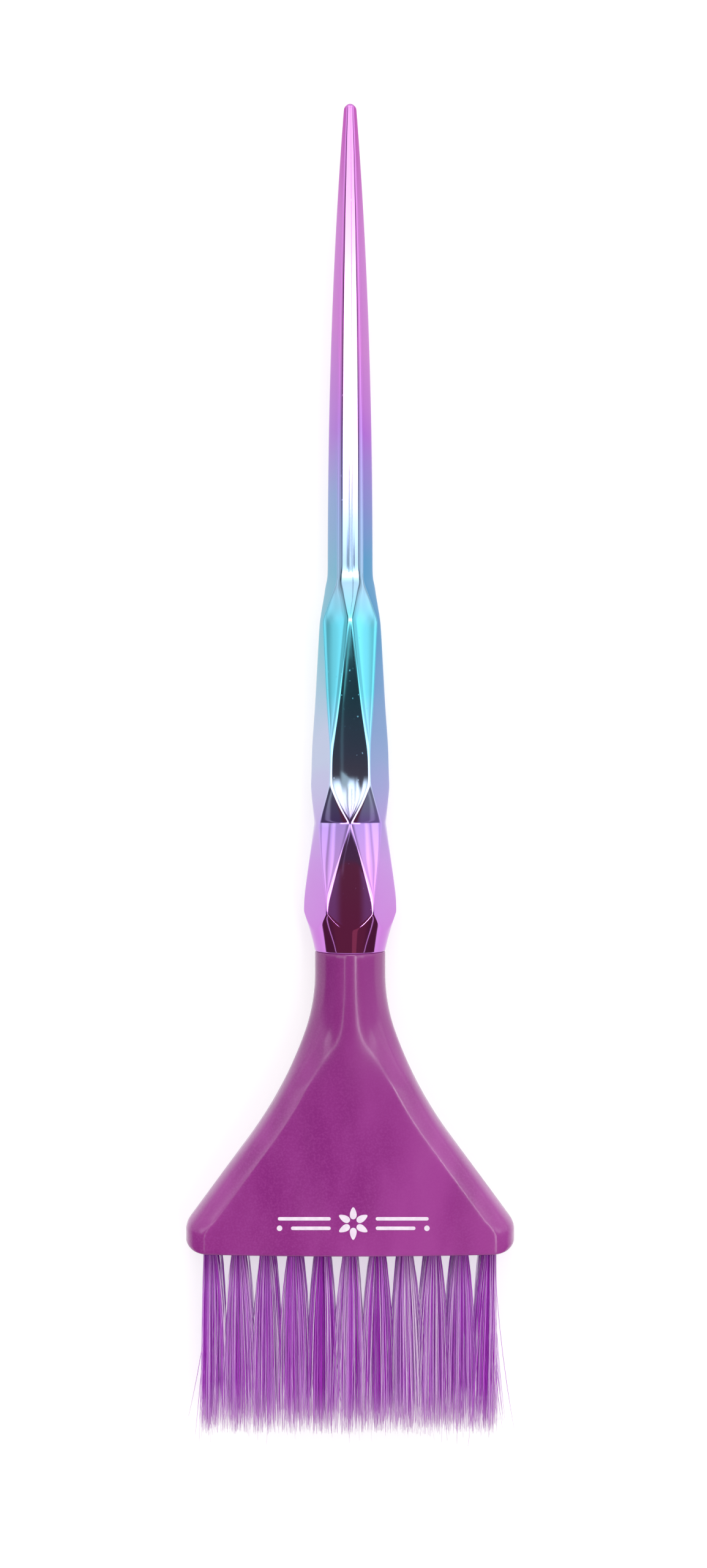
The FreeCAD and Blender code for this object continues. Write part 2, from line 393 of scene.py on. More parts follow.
# Distances of the facets from the axis. The section is cut by twelve faces: six "flats"
# at 0, 60, 120... degrees from straight up and six "petals" half-way between them.
# Each kink is (station in mm, slope after it, softness in mm).
FLAT_KINKS = [(92.2, 0.295, 0.5), (100.3, 0.0066, 0.35), (130.6, 0.090, 1.3), (139.2, 0.051, 0.5),
              (147.6, 0.015, 2.0)]
PETAL_KINKS = [(91.0, 0.05, 0.8), (94.5, 0.16, 0.6), (97.5, 0.19, 1.0), (100.2, 0.0545, 0.8),
               (117.0, 0.078, 1.5), (128.0, 0.01, 1.0), (131.5, -0.098, 0.6), (139.2, 0.136, 0.12)]
RELIEF = 0.22 * MM
PETAL_TAIL_CLEARANCE = 0.3 * MM


def tail_radius(station):
    rest = 1 - np.minimum(station, TAIL_LENGTH) / TAIL_LENGTH
    return TAIL_END_RADIUS + (TAIL_RADIUS - TAIL_END_RADIUS) * (1 - rest ** TAIL_POWER)


def kinked(station, kinks):
    """Height gained along a line that starts level and changes slope at each kink."""
    total, slope = 0 * station, 0.0
    for place, after, softness in kinks:
        total = total + (after - slope) * soft_kink(station - place * MM, softness * MM)
        slope = after
    return total


def facet_radius(distance, crown, turn):
    """Radius at an angle from a face's middle; crown is the face's curvature, per metre."""
    bend = 1 / crown
    centre = distance - bend
    return centre * np.cos(turn) + np.sqrt(bend ** 2 - (centre * np.sin(turn)) ** 2)


def handle_radius(station, turn):
    """Radius of the handle; turn is the angle from a flat's middle, 0 to 30 degrees."""
    flat = (tail_radius(station) + RELIEF) * math.cos(30 * DEG) + kinked(station, FLAT_KINKS)
    petal = tail_radius(station) + PETAL_TAIL_CLEARANCE + kinked(station, PETAL_KINKS)
    on_grip = soft_step(station, 90 * MM, 97 * MM)
    past = station - 139.2 * MM
    crease = np.exp(-(past / np.where(past > 0, 10 * MM, 7 * MM)) ** 2)
    flat_crown = 12 + 2 * on_grip
    petal_crown = 8 + 8 * on_grip + 56 * crease
    softness = (0.05 + 0.045 * on_grip) * MM + (1 - on_grip) * 0.05 * tail_radius(station)
    faces = [
        facet_radius(flat, flat_crown, turn),
        facet_radius(flat, flat_crown, 60 * DEG - turn),
        facet_radius(petal, petal_crown, 30 * DEG - turn),
    ]
    sharp = soft_min(softness, *faces)
    collar = (COLLAR_RADIUS - COLLAR_SLOPE * (station - COLLAR_START)
              + (COLLAR_SLOPE - COLLAR_SLOPE_AFTER) * soft_kink(station - COLLAR_BEND, 1.5 * MM))
    return soft_min(0.05 * MM, sharp, np.maximum(collar, 1 * MM))


def sector_turns(station):
    """Columns from a flat's middle to a petal's, closer together where the section bends most."""
    fine = np.linspace(0, 30 * DEG, 241)
    radius = handle_radius(station, fine)
    points = radius * np.exp(1j * fine)
    steps = np.diff(points)
    heading = np.unwrap(np.angle(steps))
    turning = np.abs(np.diff(heading))
    padded = np.concatenate([[turning[0]], turning, [turning[-1]]])
    bend = np.convolve(padded, np.ones(9) / 9, "same")[:-1]
    weight = np.abs(steps) / np.abs(steps).sum() + 1.1 * bend / max(bend.sum(), 1e-9)
    measure = np.concatenate([[0], np.cumsum(weight)])
    wanted = np.linspace(0, measure[-1], HALF_SECTOR_COLUMNS + 1)
    return np.interp(wanted, measure, fine)


def handle_ring(station):
    """One ring of the handle, all the way round, starting at the flat that faces up."""
    half = sector_turns(station)
    radius = handle_radius(station, half)
    turns = np.concatenate([half, 60 * DEG - half[-2:0:-1]])
    radii = np.concatenate([radius, radius[-2:0:-1]])
    angle = np.concatenate([turns + 60 * DEG * k for k in range(6)])
    radii = np.tile(radii, 6)
    return radii * np.sin(angle), radii * np.cos(angle)


NOSE_LENGTH = 1.2 * MM
NOSE_RINGS = 8
# How far apart the handle's rings are: (from, to, step) in mm.
HANDLE_SPANS = [
    (1.2, 88, 1.2), (88, 99, 0.3), (99, 101.5, 0.15), (101.5, 128, 0.45), (128, 138, 0.25),
    (138, 140.4, 0.1), (140.4, 153, 0.35), (153, 160.5, 0.12),
]


def make_handle(material):
    rim_round = 0.25 * MM
    spigot_radius, spigot_length = 4.7 * MM, 15 * MM
    spans = [(a * MM, b * MM, step * MM) for a, b, step in HANDLE_SPANS]
    body = stations(*spans, (spans[-1][1], RIM - rim_round, 0.3 * MM))
    rings, places = [], []
    for k in range(1, NOSE_RINGS):
        angle = 90 * DEG * k / NOSE_RINGS
        x, z = handle_ring(NOSE_LENGTH)
        rings.append((x * math.sin(angle), z * math.sin(angle)))
        places.append(NOSE_LENGTH * (1 - math.cos(angle)))
    for station in body:
        rings.append(handle_ring(station))
        places.append(station)
    x, z = handle_ring(RIM - rim_round)
    size = np.hypot(x, z)
    for k in range(1, 5):
        angle = 90 * DEG * k / 4
        shrink = (size - rim_round * (1 - math.cos(angle))) / size
        rings.append((x * shrink, z * shrink))
        places.append(RIM - rim_round + rim_round * math.sin(angle))
    unit_x, unit_z = x / size, z / size
    for radius, place in ((spigot_radius, RIM), (spigot_radius, RIM + spigot_length - 0.4 * MM),
                          (spigot_radius - 0.4 * MM, RIM + spigot_length)):
        rings.append((unit_x * radius, unit_z * radius))
        places.append(place)
    columns = len(x)
    verts = np.concatenate([to_world(rx, np.full(columns, place), rz)
                            for (rx, rz), place in zip(rings, places)])
    tip = to_world(np.array([0.0]), np.array([0.0]), np.array([0.0]))
    end = to_world(np.array([0.0]), np.array([RIM + spigot_length]), np.array([0.0]))
    faces = [tuple(reversed(f)) for f in tube_faces(len(rings), columns)]
    count = len(verts)
    faces += fan_faces(list(range(columns)), count, False)
    faces += fan_faces(list(range(count - columns, count)), count + 1, True)
    piece = make_object("handle_skin", np.concatenate([verts, tip, end]), faces, material)
    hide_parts("handle")
    return piece


# ---- head --------------------------------------------------------------------------
NECK_STRAIGHT = 4.3 * MM
UPPER_FLARE_RADIUS = 34 * MM
UPPER_FLARE_ANGLE = 19.5 * DEG
LOWER_FLARE_RADIUS = 78 * MM
FLARE_ANGLE = 36.4 * DEG
SHOULDER_RADIUS = 4.0 * MM
CORNER_RADIUS = 1.8 * MM
END_BOW = 0.45 * MM
HALF_THICKNESS = 6.3 * MM
EDGE_HALF_THICKNESS = 4.85 * MM
BEVEL_SLOPE = math.tan(21.4 * DEG)
SIDE_CROWN = 11 * MM
LIP_RADIUS = 0.45 * MM
RIM_ROUND = 0.35 * MM
SOCKET_RADIUS = 4.9 * MM
SOCKET_LENGTH = 16 * MM
HOLE_RADIUS = 1.5 * MM
HOLE_DEPTH = 6.5 * MM
QUADRANT_COLUMNS = 46
MORPH = (13 * MM, 26 * MM)      # from the rim: where the oval neck turns into the bevelled blade

FLARE_START = RIM + NECK_STRAIGHT
UPPER_END = FLARE_START + UPPER_FLARE_RADIUS * math.sin(UPPER_FLARE_ANGLE)
LOWER_END = UPPER_END + LOWER_FLARE_RADIUS * (math.sin(FLARE_ANGLE) - math.sin(UPPER_FLARE_ANGLE))
LOWER_END_X = (NECK_RADIUS + UPPER_FLARE_RADIUS * (1 - math.cos(UPPER_FLARE_ANGLE))
               + LOWER_FLARE_RADIUS * (math.cos(UPPER_FLARE_ANGLE) - math.cos(FLARE_ANGLE)))
SHOULDER = LOWER_END + (HALF_WIDTH - LOWER_END_X) / math.tan(FLARE_ANGLE)
SHOULDER_REACH = SHOULDER_RADIUS * math.tan(FLARE_ANGLE / 2)


def outline(station, corner=True):
    """Half width of the head; without corner, the sides run straight down to the end."""
    into_upper = np.clip(station - FLARE_START, 0, UPPER_END - FLARE_START)
    width = NECK_RADIUS + UPPER_FLARE_RADIUS - np.sqrt(UPPER_FLARE_RADIUS ** 2 - into_upper ** 2)
    into_lower = np.clip(station - UPPER_END, 0, LOWER_END - UPPER_END)
    sine = math.sin(UPPER_FLARE_ANGLE) + into_lower / LOWER_FLARE_RADIUS
    width = width + LOWER_FLARE_RADIUS * (math.cos(UPPER_FLARE_ANGLE) - np.sqrt(1 - sine ** 2))
    width = width + np.maximum(station - LOWER_END, 0) * math.tan(FLARE_ANGLE)
    before = SHOULDER - SHOULDER_REACH * math.cos(FLARE_ANGLE)
    arc_centre = SHOULDER + SHOULDER_REACH
    into_arc = np.clip(arc_centre - station, 0, arc_centre - before)
    arc = HALF_WIDTH - SHOULDER_RADIUS + np.sqrt(SHOULDER_RADIUS ** 2 - into_arc ** 2)
    width = np.where(station < before, width, arc)
    if corner:
        past = np.clip(station - (FACE - CORNER_RADIUS), 0, CORNER_RADIUS)
        width = width - CORNER_RADIUS + np.sqrt(CORNER_RADIUS ** 2 - past ** 2)
    return width


def head_radius(station, angle):
    """Distance of the head's skin from its axis, along an angle from +X in the first quadrant."""
    width = outline(station)
    straight = outline(station, corner=False)
    sideways = soft_step(station, SHOULDER - 2 * MM, SHOULDER + 2 * MM)
    rise = BEVEL_SLOPE * (math.cos(FLARE_ANGLE) * (1 - sideways) + sideways)
    at_neck = 1 - soft_step(station, RIM, RIM + 22 * MM)
    thickness = HALF_THICKNESS + (NECK_RADIUS - HALF_THICKNESS) * at_neck
    into_lip = np.clip(station - (FACE - LIP_RADIUS), 0, LIP_RADIUS)
    inset = LIP_RADIUS - math.sqrt(LIP_RADIUS ** 2 - into_lip ** 2)
    into_rim = np.clip(RIM + RIM_ROUND - station, 0, RIM_ROUND)
    inset += RIM_ROUND - math.sqrt(RIM_ROUND ** 2 - into_rim ** 2)
    cosine, sine = np.cos(angle), np.sin(angle)

    def beyond(radius):
        """How far a point at that radius is outside the blade."""
        x, z = radius * cosine, radius * sine
        panel = z - thickness
        bevel = (z - EDGE_HALF_THICKNESS - rise * (straight - x)) / math.hypot(1, rise)
        side = np.hypot(np.maximum(x - (width - SIDE_CROWN), 0), z) - SIDE_CROWN
        return soft_max(0.35 * MM, soft_max(0.12 * MM, panel, bevel), side) + inset

    low, high = 0 * angle, 0 * angle + 2 * HALF_WIDTH
    for _ in range(44):
        middle = (low + high) / 2
        outside = beyond(middle) > 0
        high = np.where(outside, middle, high)
        low = np.where(outside, low, middle)
    oval = 1 / np.sqrt((cosine / (width - inset)) ** 2 + (sine / (thickness - inset)) ** 2)
    share = soft_step(station, RIM + MORPH[0], RIM + MORPH[1])
    return oval + (middle - oval) * share


def head_ring(station):
    """One ring of the head, its columns even in length and in turning."""
    width = float(outline(station))
    even = np.linspace(0, 90 * DEG, 400)
    fine = np.arctan2(HALF_THICKNESS * np.sin(even), width * np.cos(even))
    points = head_radius(station, fine) * np.exp(1j * fine)
    steps = np.diff(points)
    heading = np.unwrap(np.angle(steps))
    turning = np.abs(np.diff(heading))
    bend = np.concatenate([turning[:1], (turning[1:] + turning[:-1]) / 2, turning[-1:]])
    weight = np.abs(steps) / np.abs(steps).sum() + 0.9 * bend / bend.sum()
    measure = np.concatenate([[0], np.cumsum(weight)])
    wanted = np.linspace(0, measure[-1], QUADRANT_COLUMNS + 1)
    x = np.interp(wanted, measure, points.real)
    z = np.interp(wanted, measure, points.imag)
    x = np.concatenate([x, -x[-2:0:-1]])
    z = np.concatenate([z, z[-2:0:-1]])
    return np.concatenate([x, -x]), np.concatenate([z, -z])


def end_bow(x, station):
    """How far the ends of the end face are set back from its middle."""
    return END_BOW * (x / HALF_WIDTH) ** 2 * soft_step(station, FACE - 6 * MM, FACE)


def tuft_place(row, number):
    """Middle of a tuft's root, from its CAD node: x, and height above the brush's axis."""
    low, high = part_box("tuft_%s_%02d" % (row, number))
    return (low.x + high.x) / 2, (low.z + high.z) / 2 - AXIS_Z


def make_head(material):
    lip = [FACE - LIP_RADIUS + LIP_RADIUS * math.sin(90 * DEG * k / 6) for k in range(1, 7)]
    corner_start = FACE - CORNER_RADIUS
    corner = [corner_start + CORNER_RADIUS * math.sin(90 * DEG * k / 14) for k in range(1, 9)]
    rim = [RIM + RIM_ROUND * (1 - math.cos(90 * DEG * k / 5)) for k in range(6)]
    body = stations(
        (RIM + RIM_ROUND, RIM + 12 * MM, 0.8 * MM), (RIM + 12 * MM, RIM + 28 * MM, 0.5 * MM),
        (RIM + 28 * MM, SHOULDER - 3 * MM, 0.8 * MM), (SHOULDER - 3 * MM, SHOULDER + 1.6 * MM, 0.2 * MM),
    )
    places = sorted(set(np.round(np.concatenate([rim, body, [corner_start], corner, lip]), 8)))
    rings = [head_ring(place) for place in places]
    columns = len(rings[0][0])
    x, z = rings[0]
    size = np.hypot(x, z)
    socket = [(SOCKET_RADIUS + 0.3 * MM, RIM), (SOCKET_RADIUS, RIM + 0.3 * MM),
              (SOCKET_RADIUS, RIM + SOCKET_LENGTH)]
    for radius, place in socket:
        rings.insert(0, (x / size * radius, z / size * radius))
        places.insert(0, place)
    verts = np.concatenate([to_world(rx, place - end_bow(rx, place), rz)
                            for (rx, rz), place in zip(rings, places)])
    bottom = to_world(np.array([0.0]), np.array([RIM + SOCKET_LENGTH]), np.array([0.0]))
    faces = tube_faces(len(rings), columns)
    faces += fan_faces(list(range(columns)), len(verts), True)
    piece = make_object("head_moulding", np.concatenate([verts, bottom]), faces, material)
    add_end_face(piece, len(verts) - columns, columns)
    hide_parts("head")
    return piece


def add_end_face(piece, first, count):
    """Closes the head's end with a flat face that has a blind hole for each tuft."""
    sides = 20
    mesh = bmesh.new()
    mesh.from_mesh(piece.data)
    mesh.verts.ensure_lookup_table()
    rim = [mesh.verts[first + k] for k in range(count)]
    loops = [mesh.edges.get((a, b)) for a, b in zip(rim, rim[1:] + rim[:1])]
    for row in ROWS:
        for number in range(1, TUFTS_PER_ROW + 1):
            x, z = tuft_place(row, number)
            mouth, bottom = [], []
            for k in range(sides):
                angle = 360 * DEG * k / sides
                hole_x = x + HOLE_RADIUS * math.cos(angle)
                y = TIP_Y - FACE + end_bow(hole_x, FACE)
                at = Vector((hole_x, y, AXIS_Z + z + HOLE_RADIUS * math.sin(angle)))
                mouth.append(mesh.verts.new(at))
                bottom.append(mesh.verts.new(at + Vector((0, HOLE_DEPTH, 0))))
            loops += [mesh.edges.new((a, b)) for a, b in zip(mouth, mouth[1:] + mouth[:1])]
            for k in range(sides):
                after = (k + 1) % sides
                wall = mesh.faces.new((mouth[k], mouth[after], bottom[after], bottom[k]))
                wall.smooth = True
            mesh.faces.new(bottom)
    mesh.normal_update()
    bmesh.ops.triangle_fill(mesh, use_beauty=True, use_dissolve=False, edges=loops, normal=(0, -1, 0))
    bmesh.ops.recalc_face_normals(mesh, faces=mesh.faces)
    mesh.to_mesh(piece.data)
    mesh.free()


# ---- print on the front panel ------------------------------------------------------
INK_THICKNESS = 0.03 * MM
PRINT_STATION_FROM_FACE = 6.4 * MM
PRINT_OFFSET_X = 0.6 * MM


def flat_ribbon(points, half_width):
    """Outline of a ribbon with round ends along a line of points, as (x, y) pairs."""
    points = np.array(points, float)
    step = np.gradient(points, axis=0)
    step /= np.linalg.norm(step, axis=1)[:, None]
    normal = np.stack([-step[:, 1], step[:, 0]], axis=1)
    left, right = points + normal * half_width, points - normal * half_width
    cap = np.linspace(0, 180, 9)[1:-1] * DEG

    def round_end(centre, across, along):
        return [centre + half_width * (math.cos(a) * across + math.sin(a) * along) for a in cap]

    return list(left) + round_end(points[-1], normal[-1], step[-1]) + list(right[::-1]) \
        + round_end(points[0], -normal[0], -step[0])


def make_print(material):
    """A plain ornament: a ring of six petals between two pairs of rules, with a dot past the end of each
    shorter rule.
    """
    shapes = []
    line = 0.33 * MM
    for side in (1, -1):
        for height, inner, outer in ((0.9, 4.6, 14.0), (-0.9, 4.6, 11.5)):
            xs = np.linspace(inner, outer, 12) * MM * side
            shapes.append(flat_ribbon([(x, height * MM) for x in xs], line))
        dot = 1.6 * line
        shapes.append([(side * 14.0 * MM + dot * math.cos(a), -0.9 * MM + dot * math.sin(a))
                       for a in np.linspace(0, 360, 17)[:-1] * DEG])
    for k in range(6):
        turn = 60 * DEG * k + 30 * DEG
        petal = []
        for a in np.linspace(0, 360, 25)[:-1] * DEG:
            along = (1.95 + 1.15 * math.cos(a)) * MM
            across = 0.62 * MM * math.sin(a) * (1 - 0.35 * math.cos(a))
            petal.append((along * math.cos(turn) - across * math.sin(turn),
                          along * math.sin(turn) + across * math.cos(turn)))
        shapes.append(petal)
    mesh = bmesh.new()
    y = TIP_Y - FACE + PRINT_STATION_FROM_FACE
    top = AXIS_Z + HALF_THICKNESS + INK_THICKNESS
    for shape in shapes:
        upper = [mesh.verts.new((PRINT_OFFSET_X + px, y + py, top)) for px, py in shape]
        lower = [mesh.verts.new((v.co.x, v.co.y, top - 2 * INK_THICKNESS)) for v in upper]
        mesh.faces.new(upper)
        mesh.faces.new(lower[::-1])
        for k in range(len(upper)):
            after = (k + 1) % len(upper)
            mesh.faces.new((upper[k], lower[k], lower[after], upper[after]))
    bmesh.ops.recalc_face_normals(mesh, faces=mesh.faces)
    data = bpy.data.meshes.new("panel_print")
    mesh.to_mesh(data)
    mesh.free()
    data.materials.append(material)
    piece = bpy.data.objects.new("panel_print", data)
    bpy.context.scene.collection.objects.link(piece)
    return piece


# ---- bristles ----------------------------------------------------------------------
FILAMENTS = 130
CLUMPS = 9
FILAMENT_RADIUS = 0.058 * MM
ROOT_SPREAD = 1.33 * MM         # half width of a tuft in its hole
FREE_SPREAD = (2.0 * MM, 0.75 * MM)     # how much wider it gets outside, across and in depth
OUTER_SPREAD = 0.35 * MM        # the same, on the side of the outermost tufts that faces outwards
ROOT_DEPTH = 3.6 * MM
BRISTLE_LENGTH = 33.9 * MM
RING_SIDES = 3
RING_PLACES = np.array([0.0, 0.1, 0.2, 0.32, 0.46, 0.62, 0.78, 0.9, 1.0])


def make_tuft(row, number, material, random):
    """A bundle of separate tapered filaments that spread from one hole."""
    x0, z0 = tuft_place(row, number)
    edge = abs(number - (TUFTS_PER_ROW + 1) / 2) == (TUFTS_PER_ROW - 1) / 2
    outward = math.copysign(1, x0)
    lean = random.normal(0, 0.35) * MM
    clump_place = random.uniform(-1, 1, (CLUMPS, 2))
    clump_shade = random.uniform(0.05, 0.85, CLUMPS)
    clump_drift = random.normal(0, 0.25, (CLUMPS, 2)) * MM
    verts, faces, tones_and_painted_shades, alongs = [], [], [], []
    ring_angles = np.arange(RING_SIDES) * 360 * DEG / RING_SIDES
    for _ in range(FILAMENTS):
        clump = random.integers(CLUMPS)
        spot = clump_place[clump] * 0.55 + random.normal(0, 0.42, 2)
        distance = np.hypot(*spot)
        if distance > 1:
            spot = spot / distance * random.uniform(0.8, 1.0)
        length = (BRISTLE_LENGTH + ROOT_DEPTH) * (1 - abs(random.normal(0, 0.045)) + 0.012)
        stray = random.random() < 0.02
        if stray:
            length *= 1.05
        flyaway = random.uniform(1, 4) * MM * outward if edge and random.random() < 0.03 else 0.0
        t = RING_PLACES
        free = np.clip((t * length - ROOT_DEPTH) / BRISTLE_LENGTH, 0, None)
        spread = 1 - np.exp(-free / 0.33)
        reach_x, reach_z = FREE_SPREAD
        if edge and spot[0] * outward > 0:
            reach_x = OUTER_SPREAD
        x = x0 + spot[0] * (ROOT_SPREAD + reach_x * spread) + lean * free
        z = z0 + spot[1] * (ROOT_SPREAD + reach_z * spread)
        wander = random.normal(0, 0.22 if not stray else 1.2) * MM
        x = x + clump_drift[clump][0] * free + wander * free ** 1.5
        x = x + flyaway * free ** 1.7
        z = z + clump_drift[clump][1] * free + random.normal(0, 0.15) * MM * free ** 1.5
        wave = random.normal(0, 0.05) * MM * np.sin(free * random.uniform(3, 7) + random.uniform(0, 6))
        station = FACE - ROOT_DEPTH + t * length
        radius = FILAMENT_RADIUS * random.uniform(0.85, 1.12) * (1 - 0.7 * soft_step(t, 0.78, 1.0))
        spin = random.uniform(0, 6)
        base = len(verts)
        for k in range(len(t)):
            cx, cz = x[k] + wave[k], z[k] + wave[k] * 0.5
            for a in ring_angles:
                verts.append((cx + radius[k] * math.cos(a + spin), TIP_Y - station[k],
                              AXIS_Z + cz + radius[k] * math.sin(a + spin)))
        # Tone of the filament: its clump's random tone, plus painted shade that makes filaments near the
        # tuft's core darker and those at its edge lighter, plus a little random spread.
        tone_and_painted_shade = min(max(clump_shade[clump] + 0.35 * (distance - 0.6) + random.normal(0, 0.18), 0), 1)
        tones_and_painted_shades += [tone_and_painted_shade] * (len(t) * RING_SIDES)
        alongs += list(np.repeat(t, RING_SIDES))
        faces += [tuple(base + i for i in f) for f in tube_faces(len(t), RING_SIDES)]
        last = base + (len(t) - 1) * RING_SIDES
        faces.append(tuple(base + i for i in reversed(range(RING_SIDES))))
        faces.append(tuple(last + i for i in range(RING_SIDES)))
    node = "tuft_%s_%02d" % (row, number)
    piece = make_object("bristles_%s_%02d" % (row, number), verts, faces, material)
    for name, values in (("tone_and_painted_shade", tones_and_painted_shades), ("along", alongs)):
        attribute = piece.data.attributes.new(name, "FLOAT", "POINT")
        attribute.data.foreach_set("value", np.array(values, np.float32))
    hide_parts(node)
    return piece


# ---- build the brush ---------------------------------------------------------------
pieces = [make_handle(plating()), make_head(head_plastic()), make_print(print_ink())]
random = np.random.default_rng(20)
nylon = filament()
for row in ROWS:
    for number in range(1, TUFTS_PER_ROW + 1):
        pieces.append(make_tuft(row, number, nylon, random))
for piece in pieces:
    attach(piece, "root")

wire = anchor_wire()
for name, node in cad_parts.items():
    if name.startswith("anchors_"):
        node.data.materials.clear()
        node.data.materials.append(wire)


# ---- studio ------------------------------------------------------------------------
FLOOR_HALF = 15.0
FLOOR_GLOW = 0.60               # keeps the shadows on the pale floor faint


def make_floor():
    half = FLOOR_HALF
    corners = [(-half, -half, 0), (half, -half, 0), (half, half, 0), (-half, half, 0)]
    material, g = new_material("floor")
    paper = g.noise(g.object_place(), 30.0, 4.0)
    g.surface(
        Base_Color=g.blend(paper, linear(186, 186, 188), linear(189, 189, 190)),
        Roughness=0.7,
        Specular_IOR_Level=0.2,
        Emission_Color=(1.0, 1.0, 1.0, 1.0),
        Emission_Strength=FLOOR_GLOW,
    )
    floor = make_object("floor", corners, [(0, 1, 2, 3)], material, smooth=False)


# The sky is laid out by the direction it is seen in, a unit vector (x, y, z): x to the right of
# the brush, y towards its tail, z up. The numbers below are parts of that vector.

# Brightness of the soft box towards the tail, as (y, level).
SOFT_BOX = [(0.0, 0.4), (0.10, 0.9), (0.15, 2.3), (0.20, 3.4), (0.245, 7.5), (0.32, 7.5),
            (0.36, 6.0), (0.40, 4.0), (0.45, 2.8), (0.52, 2.2), (0.60, 1.7), (0.9, 2.2), (0.97, 1.0)]
SOFT_BOX_TOP = 8.0
PANEL_LEVEL, RIGHT_STRIP_LEVEL, LEFT_STRIP_LEVEL = 2.2, 8.0, 4.0

PALE = (0.95, 0.95, 0.955, 1.0)
BACKDROP = (1.0, 1.0, 1.0, 1.0)
UNLIT_WARM = (0.15, 0.05, 0.058, 1.0)
UNLIT_COOL = (0.10, 0.068, 0.078, 1.0)
LEFT_PATCH = (0.62, 0.66, 0.62, 1.0)
OUTER_UNLIT = (0.24, 0.17, 0.24, 1.0)
RED_GLOW = (0.30, 0.11, 0.10, 1.0)
LEFT_FLANK, RIGHT_FLANK = (0.11, 0.09, 0.13, 1.0), (0.25, 0.23, 0.29, 1.0)
BACK_FLANK = (0.10, 0.035, 0.05, 1.0)
FLANK_ARCH = (0.8, 0.8, 0.85, 1.0)
COLLAR_ARC = (0.9, 0.85, 0.9, 1.0)


def lit_side(g, x, y, z, aside):
    """Brightness of the half towards the tail: the soft box, with two slits and a seam in it
    that the end of the tail mirrors, and the walls beside it."""
    steps = [(at, (level / SOFT_BOX_TOP,) * 3 + (1.0,)) for at, level in SOFT_BOX]
    box = g.node("ShaderNodeSeparateColor", {0: g.colours(y, steps)}).outputs[0]
    box = g.times(box, SOFT_BOX_TOP)
    slit = g.times(g.bump(x, -0.017, 0.0045, 0.002), g.bump(y, 0.182, 0.035, 0.012))
    loop = g.times(g.bump(x, 0.008, 0.0022, 0.0015), g.bump(y, 0.166, 0.016, 0.006))
    seam = g.times(g.bump(x, 0.028, 0.003, 0.004), 0.7)
    dark = g.most(seam, g.times(g.most(slit, loop), 0.9))
    box = g.times(box, g.minus(1.0, dark))

    wall = g.plus(g.ramp(x, -0.8, 0.8, 0.85, 1.15), g.times(g.bump(z, 0.5, 0.03, 0.08), 0.3))
    light_band = g.times(g.bump(aside, 0.82, 0.010, 0.03), 0.30)
    dark_band = g.times(g.bump(aside, 0.885, 0.006, 0.02), 0.28)
    wall = g.plus(wall, g.minus(light_band, dark_band))
    wall = g.plus(wall, g.times(g.bump(z, 0.27, 0.08, 0.08), 0.5))
    edge = g.plus(g.ramp(y, 0.12, 0.25, 0.6, 0.14), g.ramp(y, 0.50, 0.62, 0.0, 0.5))
    beside = g.between(g.ramp(aside, 0.3, 0.55), edge, wall)
    return g.between(g.bump(x, 0.02, 0.2, 0.07), beside, box)


def unlit_side(g, x, y, aside):
    """Colour overhead and towards the bristles: dark, with faint lighter shapes that the
    plated faces mirror."""
    dim = g.blend(g.ramp(y, 0.020, 0.034), UNLIT_WARM, UNLIT_COOL)
    slant = g.minus(x, g.times(y, 1.33))
    patch = g.times(g.ramp(slant, -0.147, -0.130, 1.0, 0.0), g.ramp(y, 0.045, 0.075))
    patch = g.times(patch, g.ramp(x, -0.065, -0.045))
    streak = g.times(g.bump(x, -0.050, 0.003, 0.01), g.bump(y, 0.035, 0.025, 0.02))
    dim = g.blend(g.most(patch, g.times(streak, 0.16)), dim, LEFT_PATCH)
    outer = g.times(g.ramp(aside, 0.045, 0.10, 0.0, 0.7), g.bump(y, -0.03, 0.035, 0.02))
    dim = g.blend(outer, dim, OUTER_UNLIT)
    glow = g.times(g.bump(x, 0.2, 0.08, 0.05), g.ramp(y, -0.42, -0.34, 1.0, 0.0))
    dim = g.blend(glow, dim, RED_GLOW)

    flank = g.blend(g.ramp(x, -0.5, 0.5), LEFT_FLANK, RIGHT_FLANK)
    arch = g.bump(g.plus(y, g.times(aside, 0.5)), 0.275, 0.008, 0.02)
    flank = g.blend(g.times(arch, 0.35), flank, FLANK_ARCH)
    flank = g.blend(g.ramp(y, -0.36, -0.24), BACK_FLANK, flank)
    dim = g.blend(g.ramp(aside, 0.55, 0.75), dim, flank)
    arc = g.times(g.bump(g.plus(aside, y), 0.19, 0.008, 0.016), g.bump(y, -0.45, 0.13, 0.04))
    return g.blend(g.times(arc, 0.8), dim, COLLAR_ARC)


def lamps(g, x, y, aside):
    """Brightness of two panels and two narrow strips at the sides."""
    panels = g.times(g.bump(aside, 0.46, 0.22, 0.06), g.bump(y, 0.035, 0.06, 0.03))
    reach = g.bump(y, -0.18, 0.18, 0.06)
    right = g.times(g.bump(x, 0.30, 0.022, 0.03), reach)
    left = g.times(g.bump(x, -0.30, 0.010, 0.02), reach)
    strips = g.plus(g.times(right, RIGHT_STRIP_LEVEL), g.times(left, LEFT_STRIP_LEVEL))
    return g.plus(g.times(panels, PANEL_LEVEL), strips)


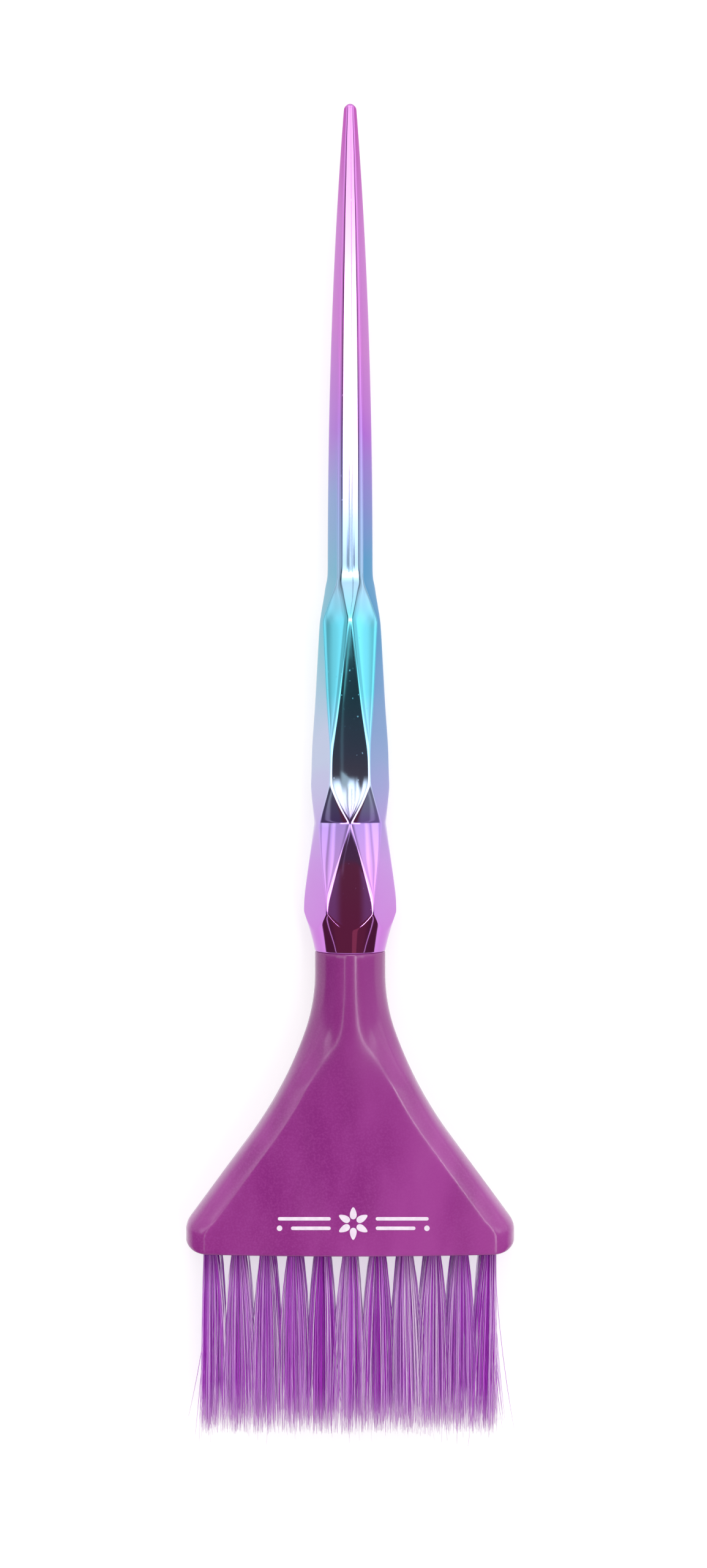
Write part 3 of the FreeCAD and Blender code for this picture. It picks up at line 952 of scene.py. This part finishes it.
def make_sky():
    """Studio light by direction, shaped for what the plated faces mirror: lit towards the tail,
    unlit towards the bristles, pale near the horizon and at the far end, with panels and strips
    at the sides. The camera itself sees a plain backdrop."""
    world = bpy.data.worlds.new("studio")
    bpy.context.scene.world = world
    world.use_nodes = True
    g = Graph(world.node_tree)
    x, y, z = g.parts(g.node("ShaderNodeTexCoord").outputs["Generated"])
    aside = g.math("ABSOLUTE", x)

    sag = g.plus(g.bump(x, -0.035, 0.012, 0.02), g.bump(x, 0.062, 0.008, 0.015))
    overhead_turn = g.ramp(g.minus(y, g.times(sag, 0.05)), 0.085, 0.13)
    turn = g.between(g.ramp(aside, 0.45, 0.7), overhead_turn, g.ramp(y, -0.06, 0.03))
    light = g.blend(turn, unlit_side(g, x, y, aside), lit_side(g, x, y, z, aside))

    added = lamps(g, x, y, aside)
    added = g.node("ShaderNodeCombineXYZ", {0: added, 1: added, 2: added}).outputs[0]
    light = g.node("ShaderNodeVectorMath", {0: light, 1: added}, operation="ADD").outputs[0]

    raised = g.plus(g.ramp(y, -0.36, -0.30, 0.20, 0.0), g.times(g.bump(y, 0.0, 0.22, 0.06), 0.14))
    light = g.blend(g.ramp(g.plus(z, raised), 0.14, 0.26), PALE, light)
    light = g.blend(g.ramp(y, -0.76, -0.65, 0.85, 0.0), light, PALE)
    seen = g.node("ShaderNodeLightPath").outputs["Is Camera Ray"]
    colour = g.blend(seen, light, BACKDROP)
    background = g.node("ShaderNodeBackground", {"Color": colour, "Strength": 1.0})
    g.node("ShaderNodeOutputWorld", {0: background.outputs[0]})


# ---- camera ------------------------------------------------------------------------
VIEW_HEIGHT = 303.9 * MM        # at the height of the brush's axis
CAMERA_ABOVE_AXIS = 309 * MM
CAMERA_X, CAMERA_Y = 0.65 * MM, -4.0 * MM


def make_camera():
    """Straight above the brush. The view is as tall as the brush with a margin at both ends."""
    data = bpy.data.cameras.new("camera")
    data.sensor_fit = "VERTICAL"
    data.sensor_height = 36.0
    data.lens = data.sensor_height * CAMERA_ABOVE_AXIS / VIEW_HEIGHT
    data.clip_start, data.clip_end = 0.01, 20.0
    camera = bpy.data.objects.new("camera", data)
    camera.location = (CAMERA_X, CAMERA_Y, AXIS_Z + CAMERA_ABOVE_AXIS)
    bpy.context.scene.collection.objects.link(camera)
    bpy.context.scene.camera = camera


make_floor()
make_sky()
make_camera()
bpy.context.scene.view_settings.view_transform = "Standard"
